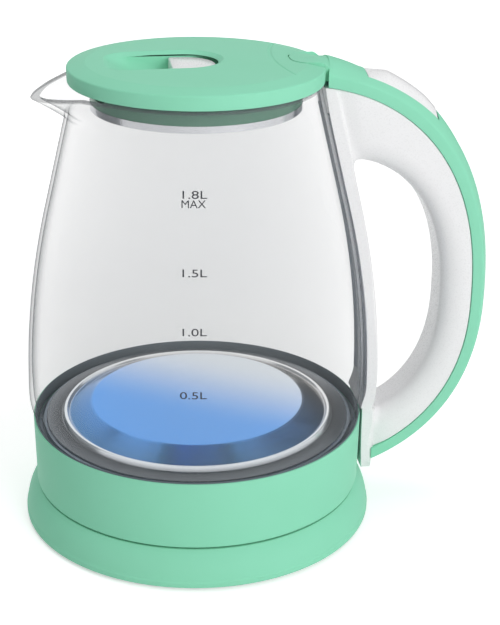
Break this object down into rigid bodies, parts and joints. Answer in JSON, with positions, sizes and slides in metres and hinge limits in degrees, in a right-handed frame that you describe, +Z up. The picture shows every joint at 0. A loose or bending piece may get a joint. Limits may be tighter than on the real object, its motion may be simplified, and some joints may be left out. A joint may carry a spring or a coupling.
{
  "type": "electric kettle",
  "caption": "Cordless electric kettle: glass jug with a beak spout, D handle and hinged lid, on a round powered stand that it lifts off and turns on.",
  "frame": {"origin": "middle of the stand's footprint, on the surface that the feet rest on", "axes": "+Z up along the jug's axis, -X towards the spout, +X towards the handle, and the lid hinge along Y"},
  "size_m": [0.2172, 0.1639, 0.2166],
  "materials": {
    "mint_plastic": "moulded, semi-gloss",
    "white_plastic": "moulded, glossy",
    "dark_mint_plastic": "satin",
    "black_plastic": "moulded, matt",
    "clear_glass": "clear, polished",
    "steel": "pressed, satin",
    "aluminium": "mill finish",
    "brass": "bright",
    "grey_silicone": "matt",
    "clear_silicone": "translucent, matt",
    "foot_rubber": "matt",
    "lamp_resin": "clear resin",
    "zinc_steel": "zinc plated"
  },
  "bodies": {
    "stand": {"stand_top_cover": "mint_plastic", "stand_bottom_plate": "black_plastic", "stand_screws": "zinc_steel", "stand_feet": "foot_rubber", "stand_connector": "black_plastic", "stand_pin_socket": "brass", "stand_ring_contact": "brass"},
    "coupler": {"jug_connector": "black_plastic", "jug_connector_pin": "brass", "jug_connector_sleeve": "brass"},
    "jug": {"base_ring": "mint_plastic", "underside_cover": "black_plastic", "underside_screws": "zinc_steel", "floor_seal": "clear_silicone", "led_lamps": "lamp_resin", "heater_plate": "steel", "heat_spreader": "aluminium", "heating_element": "steel", "thermostat_control": "black_plastic", "overheat_discs": "brass", "glass_jug": "clear_glass", "handle_shell": "white_plastic", "handle_screws": "zinc_steel", "handle_leads": "grey_silicone", "handle_gasket": "grey_silicone", "handle_cover": "mint_plastic", "hinge_pin": "zinc_steel", "switch_pin": "zinc_steel", "steam_switch": "black_plastic", "steam_disc": "brass"},
    "lid": {"lid_cover": "mint_plastic", "lid_insert": "dark_mint_plastic", "lid_screws": "zinc_steel", "lid_underplate": "steel", "pour_filter": "black_plastic", "latch_spring": "zinc_steel"},
    "latch": {"latch_slider": "white_plastic", "latch_fork": "black_plastic"},
    "switch": {"switch_rocker": "white_plastic"}
  },
  "joints": [
    {"name": "jug_lift", "type": "slide", "parent": "stand", "child": "coupler", "axis": [0, 0, 1], "range_m": [0, 0.12]},
    {"name": "jug_swivel", "type": "hinge", "parent": "coupler", "child": "jug", "pos_m": [0, 0, 0.02], "axis": [0, 0, 1], "continuous": true},
    {"name": "lid_hinge", "type": "hinge", "parent": "jug", "child": "lid", "pos_m": [0.0525, 0, 0.2113], "axis": [0, 1, 0], "range_deg": [0, 75]},
    {"name": "latch_slide", "type": "slide", "parent": "lid", "child": "latch", "axis": [1, 0, 0], "range_m": [0, 0.008], "stiffness_N_per_m": 150, "springref_m": -0.004, "deforming": ["latch_spring"]},
    {"name": "switch_rock", "type": "hinge", "parent": "jug", "child": "switch", "pos_m": [0.09458, 0, 0.19183], "axis": [0, 1, 0], "range_deg": [0, 6]}
  ]
}
